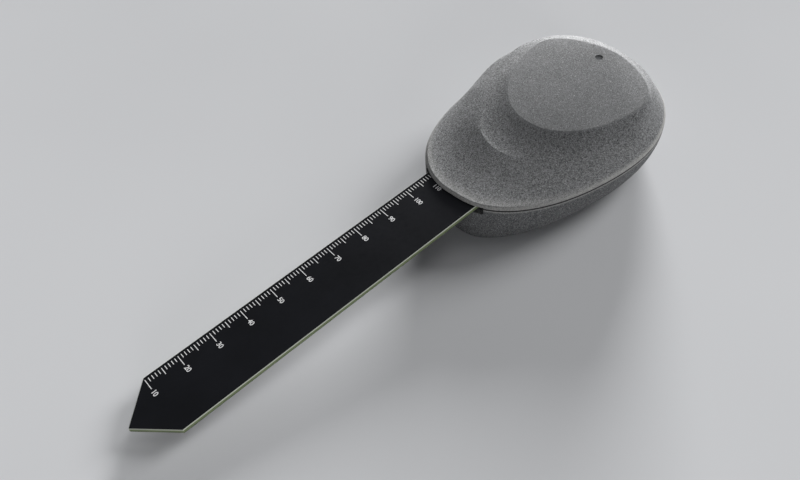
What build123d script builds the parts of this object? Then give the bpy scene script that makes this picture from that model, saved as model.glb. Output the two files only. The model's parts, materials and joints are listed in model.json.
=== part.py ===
"""Soil moisture sensor: a printed-circuit blade in a two-part pebble housing.

Frame: X along the head from the blade side (-X) to the rear, Z up. The origin is the
centre of the flat underside that the head rests on. Distances called "behind the rim"
are measured along X from the front point of the head.
"""
import os
from math import cos, pi, radians, sin, tan

from build123d import *

# Blade
BLADE_WIDTH = 20.0
BOARD_THICK = 1.6
BLADE_REACH = 108.3
TIP_LENGTH = 10.0
TILT = 5.0

# Head outlines: front, rear and widest point behind the rim, then the half width
RIM = dict(front=0.0, rear=87.3, widest=50.0, half=29.95, blunt=2.42)
LEFT_CREST = dict(front=19.7, rear=81.0, widest=60.0, half=26.9, flare=1.66, blunt=2.13, tail=2.7)
RIGHT_CREST = dict(front=19.7, rear=81.0, widest=54.2, half=25.2, flare=1.06, tail=2.4)
PLATEAU = dict(front=32.8, rear=74.0, widest=61.7, half=21.7, blunt=2.08, tail=1.62)
UNDERSIDE = dict(front=1.6, rear=76.4, widest=44.0, half=20.4, blunt=3.0)

# Heights above the parting plane, rising to the rear, and the depth of the base below it
LIP_HEIGHT = 1.3
LIP_ROUND = 0.7
CHEEK_LEVEL = 0.55
CHEEK_ROUND = 0.2
CREST_RISE = 4.25
CREST_SLOPE = 0.045
CREST_LEAN = 0.078
PLATEAU_RISE = 5.14
PLATEAU_SLOPE = 0.107
BASE_DEPTH = 14.5

# Hollow of the two slopes at front, rear, left and right: 1 is straight, less is full
BRIM_HOLLOW = dict(front=1.6, rear=0.93, left=0.27, right=1.2)
TERRACE_HOLLOW = dict(front=1.7, rear=0.6, left=0.98, right=1.23)
PLATEAU_ROUND = 0.8

# Clearances of pieces that are pressed in, and of pieces that slip in
PRESS_PLAY = 0.02
SLIP_PLAY = 0.05

# Lengths of cutting tools: past a face, and through the whole head
BEYOND = 1.0
THROUGH = 40.0

# Housing walls
WALL = 1.9
SKIN_DROP = 1.8
RIM_WALL = 3.0
FLOOR = 2.0
SEAM_GAP = 0.3
OUTLINE_STEPS = 6
SLOPE_SHARES = (0.0, 0.12, 0.35, 0.7, 1.0)
BOWL_TURNS = (0, 22, 44, 64, 80, 90)

# Gasket in the rim of the base
SEAL_INSET = 1.0
SEAL_WIDTH = 1.2
SEAL_DEPTH = 1.0

# Notch for the blade and the collar behind it
NOTCH_WIDTH = 24.4
NOTCH_BELOW = 0.8
NOTCH_ABOVE = 0.25
NOTCH_OUT = 2.0
NOTCH_REACH = 6.0
NOTCH_MOUTH = 4.0
RELIEF_REACH = 26.0
RELIEF_WIDTH = 20.6
COLLAR_START = 3.4
COLLAR_LENGTH = 1.8
COLLAR_PLAY = 0.3

# Case screws, driven from the underside into inserts in the cover
CASE_SCREWS = [(15.5, 13.9), (15.5, -13.9), (73.8, 0.0)]
BOSS_RADIUS = 3.2
BOSS_END = -6.0
POST_GAP = 0.3
SCREW_RADIUS = 1.2
SCREW_HOLE_RADIUS = 1.5
SCREW_HEAD_RADIUS = 2.4
SCREW_HEAD_HEIGHT = 1.8
COUNTERBORE_RADIUS = 2.7
COUNTERBORE_DEPTH = 2.4
HEX_KEY = 2.0
HEX_DEPTH = 1.1
INSERT_RADIUS = 2.1
INSERT_BORE = 1.3
INSERT_LENGTH = 5.0
SCREW_END_ROOM = 0.5

# Board inside the head, in board coordinates: u behind the rim, v across, w above the face
NECK_END = 28.0
BOARD_FLARE_END = 44.0
BOARD_HALF = 18.0
BOARD_END = 71.8
BOARD_CORNER = 7.0
BOARD_PLAY = 0.3
BOARD_SCREWS = [(46.0, 15.3), (46.0, -15.3), (62.0, 15.3), (62.0, -15.3)]
BOARD_BOSS_RADIUS = 2.6
BOARD_SCREW_RADIUS = 1.0
BOARD_SCREW_HOLE = 1.2
BOARD_SCREW_HEAD = 1.9
BOARD_SCREW_HEAD_HEIGHT = 1.2
BOARD_SCREW_DEPTH = 3.5

# Two AAA cells in an open holder under the board
CELL_RADIUS = 5.25
CELL_BODY = 43.5
CELL_NUB_RADIUS = 1.9
CELL_NUB = 1.0
CELL_EDGE = 0.5
CELL_SPACING = 11.8
HOLDER_START = 19.8
HOLDER_LENGTH = 49.0
HOLDER_WIDTH = 24.4
HOLDER_ROOF = 1.2
HOLDER_HEIGHT = 9.0
HOLDER_END_WALL = 1.2
HOLDER_WINDOW = (21.0, 3.5)
CELL_PLAY = 0.15
LEAF_ROOM = 1.3
LEAF_KNEE = -1.0
LEAF_TOP = 3.0
CONTACT_THICK = 0.3
CONTACT_WIDTH = 7.0
CONTACT_HALF_HEIGHT = 4.0
DIMPLE_RADIUS = 2.4
DIMPLE_TOP_RADIUS = 1.4

# Light pipe and pairing switch
PIPE_PLACE = (69.8, 2.5)
PIPE_RADIUS = 1.2
PIPE_FLANGE = 1.8
PIPE_FOOT = 2.2
PIPE_SHOULDER = 3.0
PIPE_TOWER_DEPTH = 5.0
PIPE_TOWER_WALL = 1.0
PIPE_RECESS = 0.35
SWITCH_PLACE = (54.0, 15.0)
SWITCH_SIZE = 4.5
SWITCH_HEIGHT = 2.0
PLUNGER_RADIUS = 1.1
PLUNGER_LENGTH = 1.8
PLUNGER_OUT = 1.1
PLUNGER_PLAY = 0.1
PLUNGER_BORE_DEPTH = 1.1

FRONT = -(UNDERSIDE["front"] + UNDERSIDE["rear"]) / 2
SEAM = BASE_DEPTH
PIPE_RISE = (PLATEAU_SLOPE - tan(radians(TILT))) * PIPE_PLACE[0]
PIPE_TOP = (PLATEAU_RISE + PIPE_RISE) * cos(radians(TILT))

os.makedirs("parts", exist_ok=True)

board_plane = Plane(
    origin=(FRONT, 0, SEAM),
    x_dir=(cos(radians(TILT)), 0, sin(radians(TILT))),
    z_dir=(-sin(radians(TILT)), 0, cos(radians(TILT))),
)


def save(name, shape):
    """Write one named piece."""
    export_step(shape, f"parts/{name}.step")


def egg(front, rear, widest, half, flare=2.0, blunt=2.0, tail=2.0, inset=0.0):
    """Half outline of an egg from its front point to its rear point, as (x, y) pairs."""
    front, rear, half = front + inset, rear - inset, half - inset
    points = []
    for step in range(OUTLINE_STEPS + 1):
        turn = radians(90 * step / OUTLINE_STEPS)
        x = widest - (widest - front) * cos(turn) ** (2 / flare)
        points.append((x, half * sin(turn) ** (2 / blunt)))
    for step in range(1, OUTLINE_STEPS + 1):
        turn = radians(90 * step / OUTLINE_STEPS)
        x = widest + (rear - widest) * sin(turn)
        points.append((x, half * abs(cos(turn)) ** (2 / tail)))
    points[-1] = (rear, 0.0)
    return points


def at_height(outline, height, slope=0.0):
    """Closed contour of a half outline and its mirror image, rising to the rear."""
    left = [(FRONT + x, y, SEAM + height + slope * x) for x, y in outline]
    right = [(x, -y, z) for x, y, z in reversed(left[1:-1])]
    return left + right


def crest_contour(inset, drop):
    """Closed contour of the lower crest, which is narrower on the right and leans that way."""
    left = at_height(egg(**LEFT_CREST, inset=inset), CREST_RISE - drop, CREST_SLOPE)
    right = at_height(egg(**RIGHT_CREST, inset=inset), CREST_RISE - drop, CREST_SLOPE)
    rear = len(left) // 2
    upright = left[: rear + 1] + right[rear + 1 :]
    return [(x, y, z + CREST_LEAN * y) for x, y, z in upright]


def between(low, high, share, bends):
    """Contour a share of the way from one contour to the next; bends shape its rise."""
    contour = []
    for a, b, bend in zip(low, high, bends):
        x = a[0] + (b[0] - a[0]) * share
        y = a[1] + (b[1] - a[1]) * share
        contour.append((x, y, a[2] + (b[2] - a[2]) * share**bend))
    return contour


def ring(contour):
    """Smooth closed wire through the points of a contour."""
    return Wire([Edge.make_spline(contour, periodic=True)])


def loft_through(contours):
    """Smooth solid through a stack of contours."""
    return Solid.make_loft([ring(contour) for contour in contours])


def prism(outline, low, high):
    """Upright prism over a half outline between two heights over the seam."""
    return extrude(Face(ring(at_height(outline, low))), high - low, dir=(0, 0, 1))


def slope_contours(low, high, hollow):
    """Contours up a slope from one to the next, more or less hollow around the outline."""
    bends = []
    for step in range(len(low)):
        turn = 2 * pi * step / len(low)
        end = hollow["front"] if cos(turn) > 0 else hollow["rear"]
        side = hollow["left"] if sin(turn) > 0 else hollow["right"]
        bends.append(side + (end - side) * abs(cos(turn)))
    return [between(low, high, share, bends) for share in SLOPE_SHARES]


def drum(place, radius, low, high):
    """Upright cylinder at a place behind the rim, between two heights over the seam."""
    x, y = place
    return Pos(FRONT + x, y, SEAM + (low + high) / 2) * Cylinder(radius, high - low)


def on_board(u, v, w, shape):
    """Set a shape on the board, its own origin at board coordinates u, v, w."""
    return board_plane * Pos(u, v, w) * shape


def block(u, v, w, length, width, height):
    """Box on the board that stands on height w."""
    return on_board(u, v, w + height / 2, Box(length, width, height))


def peg(u, v, low, high, radius):
    """Cylinder square to the board between two heights over its face."""
    return on_board(u, v, (low + high) / 2, Cylinder(radius, high - low))


def cover_contours(inset, drop):
    """Contours of the cover's brim and of the terrace above it."""
    lip = at_height(egg(**RIM, inset=LIP_ROUND + inset), LIP_HEIGHT - drop)
    crest = crest_contour(inset, drop)
    top = at_height(egg(**PLATEAU, inset=inset), PLATEAU_RISE - drop, PLATEAU_SLOPE)
    return slope_contours(lip, crest, BRIM_HOLLOW), slope_contours(crest, top, TERRACE_HOLLOW)


def cover_room():
    """Room inside the cover, with the places of its bosses left out."""
    low_side, high_side = cover_contours(WALL, SKIN_DROP)
    mouth = at_height(egg(**RIM, inset=LIP_ROUND + WALL), -BEYOND)
    room = loft_through([mouth] + low_side[:-1:2] + high_side[::2])
    for place in CASE_SCREWS:
        room -= drum(place, BOSS_RADIUS, -THROUGH, THROUGH)
    for u, v in BOARD_SCREWS:
        room -= peg(u, v, 0.0, THROUGH, BOARD_BOSS_RADIUS)
    tower_radius = PIPE_FLANGE + PIPE_TOWER_WALL
    return room - peg(*PIPE_PLACE, PIPE_TOP - PIPE_TOWER_DEPTH, THROUGH, tower_radius)


def make_cover():
    """Upper half of the housing with its bosses."""
    foot = at_height(egg(**RIM), SEAM_GAP / 2)
    cheek = at_height(egg(**RIM, inset=LIP_ROUND * CHEEK_ROUND), LIP_HEIGHT * CHEEK_LEVEL)
    lip = at_height(egg(**RIM, inset=LIP_ROUND), LIP_HEIGHT)
    stacks = [[foot, cheek, lip], *cover_contours(0.0, 0.0)]
    skirt, brim, terrace = [loft_through(stack).faces().sort_by(Axis.Z) for stack in stacks]
    outer = Solid(Shell(skirt[:2] + brim[1:2] + terrace[1:]))
    plateau = outer.faces().filter_by(GeomType.PLANE).sort_by(Axis.Z)[-1]
    outer = fillet(plateau.edges(), PLATEAU_ROUND)

    cover = outer - cover_room()
    for place in CASE_SCREWS:
        cover += drum(place, BOSS_RADIUS, BOSS_END, SEAM_GAP)
    for place in CASE_SCREWS:
        insert_end = BOSS_END + INSERT_LENGTH + SCREW_END_ROOM
        cover -= drum(place, INSERT_RADIUS + PRESS_PLAY, BOSS_END, insert_end)
    for u, v in BOARD_SCREWS:
        cover -= peg(u, v, -BEYOND, BOARD_SCREW_DEPTH, BOARD_SCREW_RADIUS + PRESS_PLAY)
    cover -= peg(*PIPE_PLACE, 0.0, THROUGH, PIPE_RADIUS + SLIP_PLAY)
    cover -= peg(*PIPE_PLACE, 0.0, PIPE_TOP - PIPE_SHOULDER, PIPE_FLANGE + SLIP_PLAY)
    return cover - notch_space(RELIEF_REACH, RELIEF_WIDTH) - notch_space(NOTCH_REACH, NOTCH_WIDTH)


def notch_space(reach, width, top=NOTCH_ABOVE):
    """Space around the blade from outside the rim inwards, up to a height over its face."""
    low = -BOARD_THICK - NOTCH_BELOW
    return block((reach - NOTCH_OUT) / 2, 0, low, reach + NOTCH_OUT, width, top - low)


def base_bowl(inset, floor):
    """Rounded bowl from the rim of the base down to its flat underside."""
    rim = egg(**RIM, inset=inset)
    under = egg(**UNDERSIDE, inset=min(inset, FLOOR))
    depth = BASE_DEPTH - floor
    contours = []
    for turn in BOWL_TURNS:
        level = -depth * sin(radians(turn)) - SEAM_GAP / 2 * cos(radians(turn))
        share = 1 - cos(radians(turn))
        wide, narrow = at_height(rim, level), at_height(under, level)
        contours.append(between(wide, narrow, share, [1] * len(wide)))
    return loft_through(contours)


def seal_ring(play, low, high):
    """Flat ring that follows the rim of the base."""
    outer = egg(**RIM, inset=SEAL_INSET + play)
    inner = egg(**RIM, inset=SEAL_INSET + SEAL_WIDTH - play)
    return prism(outer, low, high) - prism(inner, low - BEYOND, high + BEYOND)


def make_base():
    """Lower half of the housing with screw posts, gasket groove and blade notch."""
    bowl = base_bowl(0.0, 0.0)
    mouth = egg(**RIM, inset=RIM_WALL)
    base = bowl - base_bowl(RIM_WALL, FLOOR)
    base -= prism(mouth, -SEAM_GAP, BEYOND)
    for place in CASE_SCREWS:
        base += drum(place, BOSS_RADIUS, -BASE_DEPTH, BOSS_END - POST_GAP) & bowl
    for place in CASE_SCREWS:
        base -= drum(place, SCREW_HOLE_RADIUS, -THROUGH, 0)
        base -= drum(place, COUNTERBORE_RADIUS, -THROUGH, COUNTERBORE_DEPTH - BASE_DEPTH)
    base -= seal_ring(0.0, -SEAM_GAP / 2 - SEAL_DEPTH, BEYOND)
    return base - notch_space(NOTCH_REACH, NOTCH_WIDTH, top=NOTCH_MOUTH)


def make_case_seal():
    """Rubber ring in the groove, open where the blade passes."""
    low = -SEAM_GAP / 2 - SEAL_DEPTH + PRESS_PLAY
    ring_body = seal_ring(SLIP_PLAY, low, SEAM_GAP / 2 - SLIP_PLAY)
    opening = on_board(0, 0, 0, Box(2 * NOTCH_REACH, NOTCH_WIDTH + 2 * COLLAR_PLAY, THROUGH))
    return ring_body - opening


def make_blade_seal():
    """Collar around the blade just behind the rim."""
    low = -BOARD_THICK - NOTCH_BELOW + COLLAR_PLAY
    high = NOTCH_ABOVE - PRESS_PLAY
    centre = COLLAR_START + COLLAR_LENGTH / 2
    collar = block(centre, 0, low, COLLAR_LENGTH, NOTCH_WIDTH - 2 * COLLAR_PLAY, high - low)
    width = BLADE_WIDTH + 2 * PRESS_PLAY
    height = BOARD_THICK + 2 * PRESS_PLAY
    return collar - block(centre, 0, -BOARD_THICK - PRESS_PLAY, COLLAR_LENGTH + BEYOND, width, height)


def make_sensor_board():
    """One board: pointed blade, neck and the wider part that carries the electronics."""
    half = BLADE_WIDTH / 2
    side = [
        (-BLADE_REACH, 0),
        (-BLADE_REACH + TIP_LENGTH, half),
        (NECK_END, half),
        (BOARD_FLARE_END, BOARD_HALF),
        (BOARD_END, BOARD_HALF),
    ]
    corners = side + [(u, -v) for u, v in reversed(side[1:])]
    outline = make_face(Polyline(*corners, close=True))
    rear_corners = outline.vertices().group_by(Axis.X)[-1]
    outline = fillet(rear_corners, BOARD_CORNER)
    board = board_plane * extrude(outline, -BOARD_THICK)
    for u, v in BOARD_SCREWS:
        board -= peg(u, v, -THROUGH, THROUGH, BOARD_SCREW_HOLE)
    return board - drum(CASE_SCREWS[-1], BOSS_RADIUS + BOARD_PLAY, -THROUGH, THROUGH)


def make_case_screws():
    """Three socket screws with their heads sunk in the underside."""
    head_low = COUNTERBORE_DEPTH - SCREW_HEAD_HEIGHT - BASE_DEPTH
    seat = COUNTERBORE_DEPTH - BASE_DEPTH
    screws = []
    for place in CASE_SCREWS:
        screw = drum(place, SCREW_HEAD_RADIUS, head_low, seat)
        screw += drum(place, SCREW_RADIUS, seat, BOSS_END + INSERT_LENGTH - SCREW_END_ROOM)
        x, y = place
        socket = extrude(RegularPolygon(HEX_KEY / 2, 6, major_radius=False), HEX_DEPTH)
        screws.append(screw - Pos(FRONT + x, y, SEAM + head_low) * socket)
    return Compound(screws)


def make_thread_inserts():
    """Three brass inserts in the cover bosses."""
    inserts = []
    for place in CASE_SCREWS:
        insert = drum(place, INSERT_RADIUS, BOSS_END, BOSS_END + INSERT_LENGTH)
        inserts.append(insert - drum(place, INSERT_BORE, -THROUGH, THROUGH))
    return Compound(inserts)


def make_board_screws():
    """Four small screws that hold the board up to the cover."""
    screws = []
    for u, v in BOARD_SCREWS:
        head = peg(u, v, -BOARD_THICK - BOARD_SCREW_HEAD_HEIGHT, -BOARD_THICK, BOARD_SCREW_HEAD)
        shank_end = BOARD_SCREW_DEPTH - SCREW_END_ROOM
        screws.append(head + peg(u, v, -BOARD_THICK, shank_end, BOARD_SCREW_RADIUS))
    return Compound(screws)


cell_axis = -BOARD_THICK - HOLDER_ROOF - CELL_RADIUS - CELL_PLAY
holder_centre = HOLDER_START + HOLDER_LENGTH / 2
bay_length = HOLDER_LENGTH - 2 * HOLDER_END_WALL
bay_end = HOLDER_START + HOLDER_LENGTH - HOLDER_END_WALL
cell_front = HOLDER_START + HOLDER_END_WALL + LEAF_ROOM


def lying(u, v, length, radius):
    """Cylinder along the board at the height of the cells, from u rearwards."""
    return on_board(u + length / 2, v, cell_axis, Rot(0, 90, 0) * Cylinder(radius, length))


def make_battery_holder():
    """Two troughs, open downwards, under a thin roof."""
    low = -BOARD_THICK - HOLDER_HEIGHT
    radius = CELL_RADIUS + CELL_PLAY
    window_length, window_height = HOLDER_WINDOW
    holder = block(holder_centre, 0, low, HOLDER_LENGTH, HOLDER_WIDTH, HOLDER_HEIGHT - PRESS_PLAY)
    for v in (-CELL_SPACING / 2, CELL_SPACING / 2):
        holder -= lying(HOLDER_START + HOLDER_END_WALL, v, bay_length, radius)
        holder -= block(holder_centre, v, cell_axis - THROUGH, bay_length, 2 * radius, THROUGH)
    holder -= block(holder_centre, 0, low - BEYOND, window_length, THROUGH, window_height)

    slot_depth = CONTACT_THICK + 2 * SLIP_PLAY
    slot_low = cell_axis - CONTACT_HALF_HEIGHT - SLIP_PLAY
    slot_height = 2 * CONTACT_HALF_HEIGHT + 2 * SLIP_PLAY
    return holder - block(bay_end - slot_depth / 2, 0, slot_low, slot_depth, CELL_SPACING, slot_height)


def make_cell(side):
    """One AAA cell with its raised positive cap; the two lie head to tail."""
    v = side * CELL_SPACING / 2
    nub_first = side > 0
    body_start = cell_front + (CELL_NUB if nub_first else 0)
    body = lying(body_start, v, CELL_BODY, CELL_RADIUS)
    body = fillet(body.edges().filter_by(GeomType.CIRCLE), CELL_EDGE)
    nub_start = cell_front if nub_first else cell_front + CELL_BODY
    return body + lying(nub_start, v, CELL_NUB, CELL_NUB_RADIUS)


def make_contact_leaf(side):
    """Bent spring strip at the front end of one trough."""
    wall = HOLDER_START + HOLDER_END_WALL + SLIP_PLAY
    bow = cell_front - wall - SLIP_PLAY - CONTACT_THICK
    profile = Polyline(
        (0, CONTACT_HALF_HEIGHT),
        (0, -CONTACT_HALF_HEIGHT),
        (bow, LEAF_KNEE),
        (bow, LEAF_TOP),
    )
    strip = offset(profile, CONTACT_THICK / 2, kind=Kind.INTERSECTION)
    leaf = Rot(90, 0, 0) * extrude(make_face(strip), CONTACT_WIDTH / 2, both=True)
    return on_board(wall + CONTACT_THICK / 2, side * CELL_SPACING / 2, cell_axis, leaf)


def make_contact_bridge():
    """Strip across the rear ends of both cells, with a dimple for each."""
    face = bay_end - SLIP_PLAY - CONTACT_THICK
    dimple_height = face - (cell_front + CELL_BODY + CELL_NUB) - SLIP_PLAY
    length = CELL_SPACING + CONTACT_WIDTH
    low = cell_axis - CONTACT_HALF_HEIGHT
    bridge = block(face + CONTACT_THICK / 2, 0, low, CONTACT_THICK, length, 2 * CONTACT_HALF_HEIGHT)
    for side in (-1, 1):
        cone = Rot(0, -90, 0) * Cone(DIMPLE_RADIUS, DIMPLE_TOP_RADIUS, dimple_height)
        bridge += on_board(face - dimple_height / 2, side * CELL_SPACING / 2, cell_axis, cone)
    return bridge


def make_light_pipe():
    """Clear rod from the lamp to just under the plateau."""
    flange = peg(*PIPE_PLACE, PIPE_FOOT, PIPE_TOP - PIPE_SHOULDER - SLIP_PLAY, PIPE_FLANGE)
    return flange + peg(*PIPE_PLACE, PIPE_FOOT, PIPE_TOP - PIPE_RECESS, PIPE_RADIUS)


def make_switch_body():
    """Square switch under the board with a bore for its plunger."""
    u, v = SWITCH_PLACE
    low = -BOARD_THICK - SWITCH_HEIGHT
    body = block(u, v, low, SWITCH_SIZE, SWITCH_SIZE, SWITCH_HEIGHT)
    return body - peg(u, v, low - BEYOND, low + PLUNGER_BORE_DEPTH, PLUNGER_RADIUS + PLUNGER_PLAY)


def make_switch_plunger():
    """Round button of the switch, pressed towards the board."""
    u, v = SWITCH_PLACE
    low = -BOARD_THICK - SWITCH_HEIGHT - PLUNGER_OUT
    return peg(u, v, low, low + PLUNGER_LENGTH, PLUNGER_RADIUS)


# Components on the upper face of the board: place u, v, height w, then length, width, height
COMPONENTS = {
    "radio_board": (52.0, -6.0, 0.0, 17.0, 13.0, 0.8),
    "radio_shield": (50.5, -6.0, 0.8, 12.0, 11.0, 2.0),
    "chip_antenna": (66.0, -11.0, 0.0, 2.0, 7.0, 1.2),
    "microcontroller": (38.0, -2.0, 0.0, 7.0, 7.0, 0.9),
    "sense_amplifier": (28.5, 0.0, 0.0, 5.0, 4.0, 1.2),
    "voltage_regulator": (37.0, 9.0, 0.0, 3.0, 1.8, 1.1),
    "timing_crystal": (44.5, 6.0, 0.0, 2.5, 3.2, 0.8),
    "bulk_capacitor": (53.0, 9.0, 0.0, 7.3, 4.3, 2.8),
    "status_led": (*PIPE_PLACE, 0.0, 2.0, 1.6, 1.2),
}

save("top_cover", make_cover())
save("base_shell", make_base())
save("case_seal", make_case_seal())
save("blade_seal", make_blade_seal())
save("sensor_board", make_sensor_board())
save("case_screws", make_case_screws())
save("thread_inserts", make_thread_inserts())
save("board_screws", make_board_screws())
save("battery_holder", make_battery_holder())
save("battery_cell_left", make_cell(1))
save("battery_cell_right", make_cell(-1))
save("contact_leaf_left", make_contact_leaf(1))
save("contact_leaf_right", make_contact_leaf(-1))
save("contact_bridge", make_contact_bridge())
save("light_pipe", make_light_pipe())
save("switch_body", make_switch_body())
save("switch_plunger", make_switch_plunger())
for name, size in COMPONENTS.items():
    save(name, block(*size))
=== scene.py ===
"""Soil moisture sensor: finishes, printed scale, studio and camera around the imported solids."""
import json
from math import cos, floor, pi, radians, sin

import bpy
from mathutils import Matrix, Vector

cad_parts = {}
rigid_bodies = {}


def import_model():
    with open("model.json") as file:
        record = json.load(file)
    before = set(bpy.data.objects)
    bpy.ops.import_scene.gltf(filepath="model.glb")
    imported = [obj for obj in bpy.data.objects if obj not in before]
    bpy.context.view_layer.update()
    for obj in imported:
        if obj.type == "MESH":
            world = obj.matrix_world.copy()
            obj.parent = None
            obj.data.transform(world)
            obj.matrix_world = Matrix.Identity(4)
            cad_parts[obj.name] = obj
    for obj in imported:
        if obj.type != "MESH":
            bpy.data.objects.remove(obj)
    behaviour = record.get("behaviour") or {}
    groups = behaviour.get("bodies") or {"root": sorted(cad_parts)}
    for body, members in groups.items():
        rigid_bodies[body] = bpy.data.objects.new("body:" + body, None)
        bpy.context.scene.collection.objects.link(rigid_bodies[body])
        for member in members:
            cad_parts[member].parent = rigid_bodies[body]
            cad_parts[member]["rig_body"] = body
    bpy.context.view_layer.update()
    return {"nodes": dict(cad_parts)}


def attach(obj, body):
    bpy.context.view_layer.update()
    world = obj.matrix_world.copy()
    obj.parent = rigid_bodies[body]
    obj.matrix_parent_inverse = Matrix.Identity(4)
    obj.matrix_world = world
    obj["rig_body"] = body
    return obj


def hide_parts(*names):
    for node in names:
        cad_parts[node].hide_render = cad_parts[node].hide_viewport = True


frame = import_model()
MM = 0.001

# Frame of the board: u behind the front rim, v across, w above the face with the scale
TILT = radians(5)
RIM_FRONT = -39 * MM
SEAM_HEIGHT = 14.5 * MM
BOARD = Matrix((
    (cos(TILT), 0, -sin(TILT), RIM_FRONT),
    (0, 1, 0, 0),
    (sin(TILT), 0, cos(TILT), SEAM_HEIGHT),
    (0, 0, 0, 1),
))
BOARD_NORMAL = BOARD.col[2].to_3d()

# Planes of the cover over the seam: height at the front rim, rise to the rear, lean to the left
CREST = (4.25 * MM, 0.045, 0.078)
PLATEAU = (5.14 * MM, 0.107, 0.0)

# Left flank of the cover, in millimetres: spans over which it fades in behind the rim, to the left,
# over the lip and below the plateau
FLANK_BEHIND = (20, 30)
FLANK_LEFT = (8, 14)
FLANK_OVER_LIP = (2.2, 4.5)
FLANK_BELOW_PLATEAU = (0.3, 1.2)

# Faces of the flank: the direction that they face and how far at least, the cuts in each of their edges,
# and the largest angle between triangles that are drawn anew, in degrees
FLANK_OUTWARD = Vector((0, 0.6, 0.8))
FLANK_FACING = 0.1
FLANK_CUTS = 2
FLANK_REDRAWN = 20

# Swelling of the flank, in millimetres: spans over which it comes and goes, and its height
SWELL_STARTS = (22, 36)
SWELL_ENDS = (52, 64)
SWELL_BELOW_CREST = (0.3, 2.0)
SWELL_HEIGHT = 0.7

# Melting of the flank: rounds of smoothing, and how far a point moves in each, from 0 to 1
MELTING_ROUNDS = 220
MELTING_SHARE = 0.5

# Sharp crest of the cover: how near a point has to lie, in millimetres, and the flank's largest share there
CREST_REACH = 0.02
CREST_FLANK = 0.3

# Edges of the housing sharper than this stay sharp, in degrees
HOUSING_ANGLE = 28

# Vertices nearer than this are one, in millimetres
WELD = 0.0005

# Crowded triangles along the rear edge of the cover's ceiling, in millimetres: their longest edge,
# the steps that they are drawn together to, and where they lie behind the origin and below the plateau
CROWD_EDGE = 0.08
CROWD_STEP = 0.3
CEILING_REAR = 18
CEILING_DEPTH = (1.5, 2.1)

# Rounds in which the openings that the crowd leaves are closed
CLOSING_ROUNDS = 3

# Finish of the housing: specks, glints and slow tones a metre, the share of the tones in the colour,
# the roughness from dark to light specks, and the relief in millimetres
HOUSING_GRAIN = 2900.0
HOUSING_GLINTS = 3900.0
HOUSING_TONES = 55.0
HOUSING_TONE_SHARE = 0.1
HOUSING_ROUGH = (0.9, 0.66)
HOUSING_RELIEF = 0.07

# Glints of the housing: the values of their noise where they start and are full, and their strength
GLINT_SPAN = (0.64, 0.72)
GLINT_STRENGTH = 0.8

# Specks are calmer on the plateau: by how much, towards which value, and between which heights
# over its plane, in millimetres
PLATEAU_CALM = 0.55
PLATEAU_SPECKS = (0.6, 0.6, 0.6, 1.0)
PLATEAU_FADE = (-0.5, -0.1)

# Edges of the two housing halves beside the seam, in millimetres: how softly their painted highlights end,
# and how far from the seam its painted shade thins out; then the strength of the highlights and of the shade
EDGE_FADE = 0.3
SEAM_SHADE_SPAN = (0.18, 0.32)
EDGE_HIGHLIGHT_STRENGTH = (0.5, 0.9)
SEAM_SHADE_STRENGTH = 0.85

# Edge of the board, in millimetres: its chamfer, and the depths where its layers end: the painted highlight
# along its top, then the olive layers
EDGE_CHAMFER = 0.16
HIGHLIGHT_LAYER = 0.3
DARK_LAYER = 1.3

# Angles on the board, in degrees: up to the first, faces are merged; from the second, corners are chamfered;
# from the third, edges are shaded sharp
BOARD_FLAT = 0.5
BOARD_CORNER = 80
BOARD_ANGLE = 30

# A face of the board is lacquered where its normal agrees with the board's at least this far
FACE_SHARE = 0.95

# Lacquer of the board: specks and slow tones a metre, the roughness from dark to light specks,
# and the relief in millimetres
LACQUER_GRAIN = 1400.0
LACQUER_TONES = 60.0
LACQUER_ROUGH = (0.34, 0.46)
LACQUER_RELIEF = 0.006

# Sawn edge of the board: layers and fibres a metre, the squeeze that draws the layers out along the board,
# and the relief in millimetres
EDGE_LAYERS = 5200.0
EDGE_FIBRES = 2600.0
EDGE_SQUEEZE = (0.04, 0.04, 1.0)
EDGE_RELIEF = 0.02

# Other moulded pieces: slow tones a metre and their share in the colour
MOULDED_TONES = 40.0
MOULDED_TONE_SHARE = 0.25

# Metal: drawn lines and slow tones a metre, and the relief in millimetres
METAL_LINES = 1500.0
METAL_TONES = 180.0
METAL_RELIEF = 0.01

# Lines of the printed scale, in millimetres on the board; the rounding is a share of a line's width
SCALE_ZERO = -108.3
TICK_OUTER = 9.1
TICK_WIDTH = 0.22
TICK_ROUNDING = 0.3
TICK_INNER = {1: 7.7, 5: 6.7, 10: 5.55}
INK = 0.03

# Numbers of the scale, in millimetres: where they start, their height and what is added to their strokes;
# then the height as a share of the font's size, the share of its spacing, and the steps of a curve
DIGIT_START = 4.95
DIGIT_HEIGHT = 1.4
DIGIT_WEIGHT = 0.03
DIGIT_SHARE = 0.7
DIGIT_SPACING = 0.95
DIGIT_STEPS = 6

# First and last number, and how far the last one is moved along the scale, in millimetres
FIRST_NUMBER = 10
LAST_NUMBER = 110
LAST_NUMBER_SHIFT = -2.5

# Unevenness of the ink, a metre
INK_GRAIN = 4200.0

# Sleeve of a cell along the board, in millimetres: its middle, and the span from there where it ends;
# then its slow tones and scuffs a metre
CELL_MIDDLE = 44.55
CELL_SLEEVE = (20.9, 21.1)
CELL_TONES = 120.0
CELL_SCUFFS = 900.0

# Frost on the light pipe: specks a metre
PIPE_FROST = 3000.0

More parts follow.
